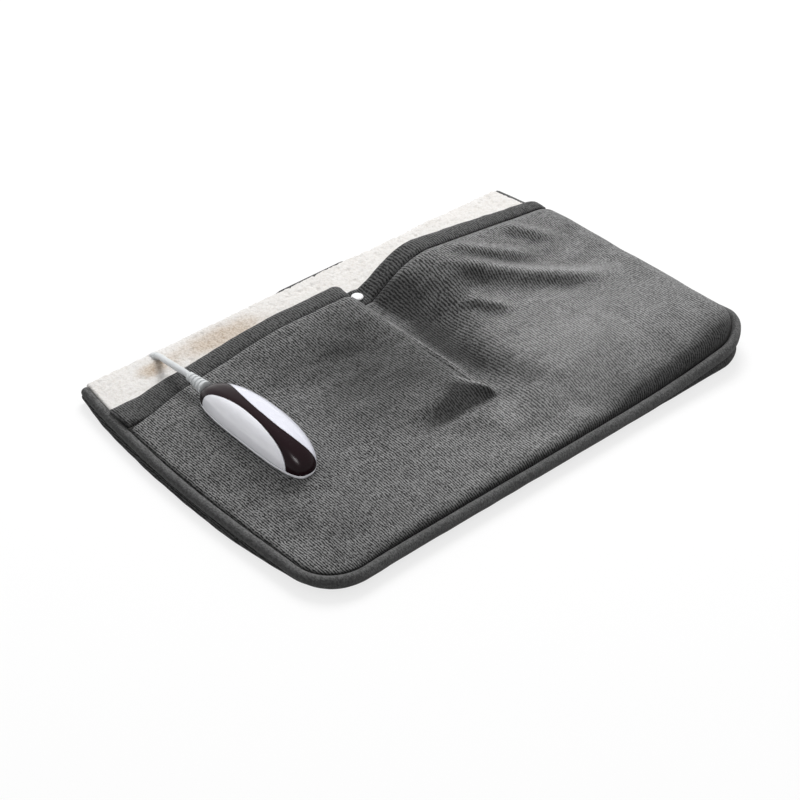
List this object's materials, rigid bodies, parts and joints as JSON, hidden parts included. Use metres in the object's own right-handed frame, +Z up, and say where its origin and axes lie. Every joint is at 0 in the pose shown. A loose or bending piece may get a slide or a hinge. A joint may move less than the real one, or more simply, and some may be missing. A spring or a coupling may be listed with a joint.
{
  "type": "heating pad with hand control",
  "caption": "Soft foot-warming heating pad: a plush pouch with fleece lining, piped edge and a press snap at its open edge, wired to a small hand control that rests on it.",
  "frame": {"origin": "middle of the underside", "axes": "+X along the long side, +Y from the sewn front edge to the open back edge where the lead goes in, +Z up"},
  "size_m": [0.4992, 0.3278, 0.0595],
  "materials": {
    "plush": "short ribbed plush",
    "dark_plush": "short plush, turned hem",
    "fleece": "curled sherpa fleece",
    "felt": "needled felt",
    "wire_sleeve": "matte sleeve",
    "white_plastic": "gloss moulded",
    "band_plastic": "high gloss moulded",
    "snap_plastic": "moulded acetal",
    "cord_rubber": "soft vinyl jacket",
    "dark_plastic": "moulded",
    "green_plastic": "moulded",
    "yellow_plastic": "dipped",
    "board_laminate": "coated laminate",
    "fuse_ceramic": "glazed tube",
    "led_lens": "clear moulded",
    "screw_steel": "zinc plated",
    "core_brown": "insulated wire",
    "core_blue": "insulated wire"
  },
  "bodies": {
    "pad": {"bottom_cover": "dark_plush", "heater_felt": "felt", "heating_wire": "wire_sleeve", "overheat_thermostat": "dark_plastic", "thermal_fuse": "fuse_ceramic", "lead_junction": "dark_plastic", "bed_lining": "fleece", "top_lining": "fleece", "top_cover": "plush", "hem_left": "dark_plush", "hem_right": "dark_plush", "edge_piping": "plush", "lead_gland": "cord_rubber", "snap_stud": "snap_plastic", "snap_back": "snap_plastic", "control_lead": "cord_rubber"},
    "snap_top": {"snap_tab": "dark_plush", "snap_cap": "snap_plastic", "snap_socket": "snap_plastic"},
    "controller": {"control_base": "white_plastic", "control_band": "band_plastic", "side_cover": "white_plastic", "control_board": "board_laminate", "key_switch": "dark_plastic", "triac": "dark_plastic", "film_capacitor": "yellow_plastic", "control_chip": "dark_plastic", "line_fuse": "fuse_ceramic", "terminal_block": "green_plastic", "indicator_led_1": "led_lens", "indicator_led_2": "led_lens", "indicator_led_3": "led_lens", "case_screw_nose": "screw_steel", "case_screw_lead": "screw_steel", "strain_relief": "cord_rubber", "lead_core_live": "core_brown", "lead_core_neutral": "core_blue"},
    "key": {"heat_key": "white_plastic", "switch_plunger": "snap_plastic"}
  },
  "joints": [
    {"name": "snap_release", "type": "slide", "parent": "pad", "child": "snap_top", "axis": [0, 0, 1], "range_m": [0, 0.012]},
    {"name": "controller_lift", "type": "hinge", "parent": "pad", "child": "controller", "pos_m": [-0.167, 0.1565, 0.0168], "axis": [-1, 0, 0], "range_deg": [0, 60], "deforming": ["control_lead"]},
    {"name": "key_press", "type": "slide", "parent": "controller", "child": "key", "axis": [0, 0, -1], "range_m": [0, 0.0006], "stiffness_N_per_m": 1500}
  ]
}
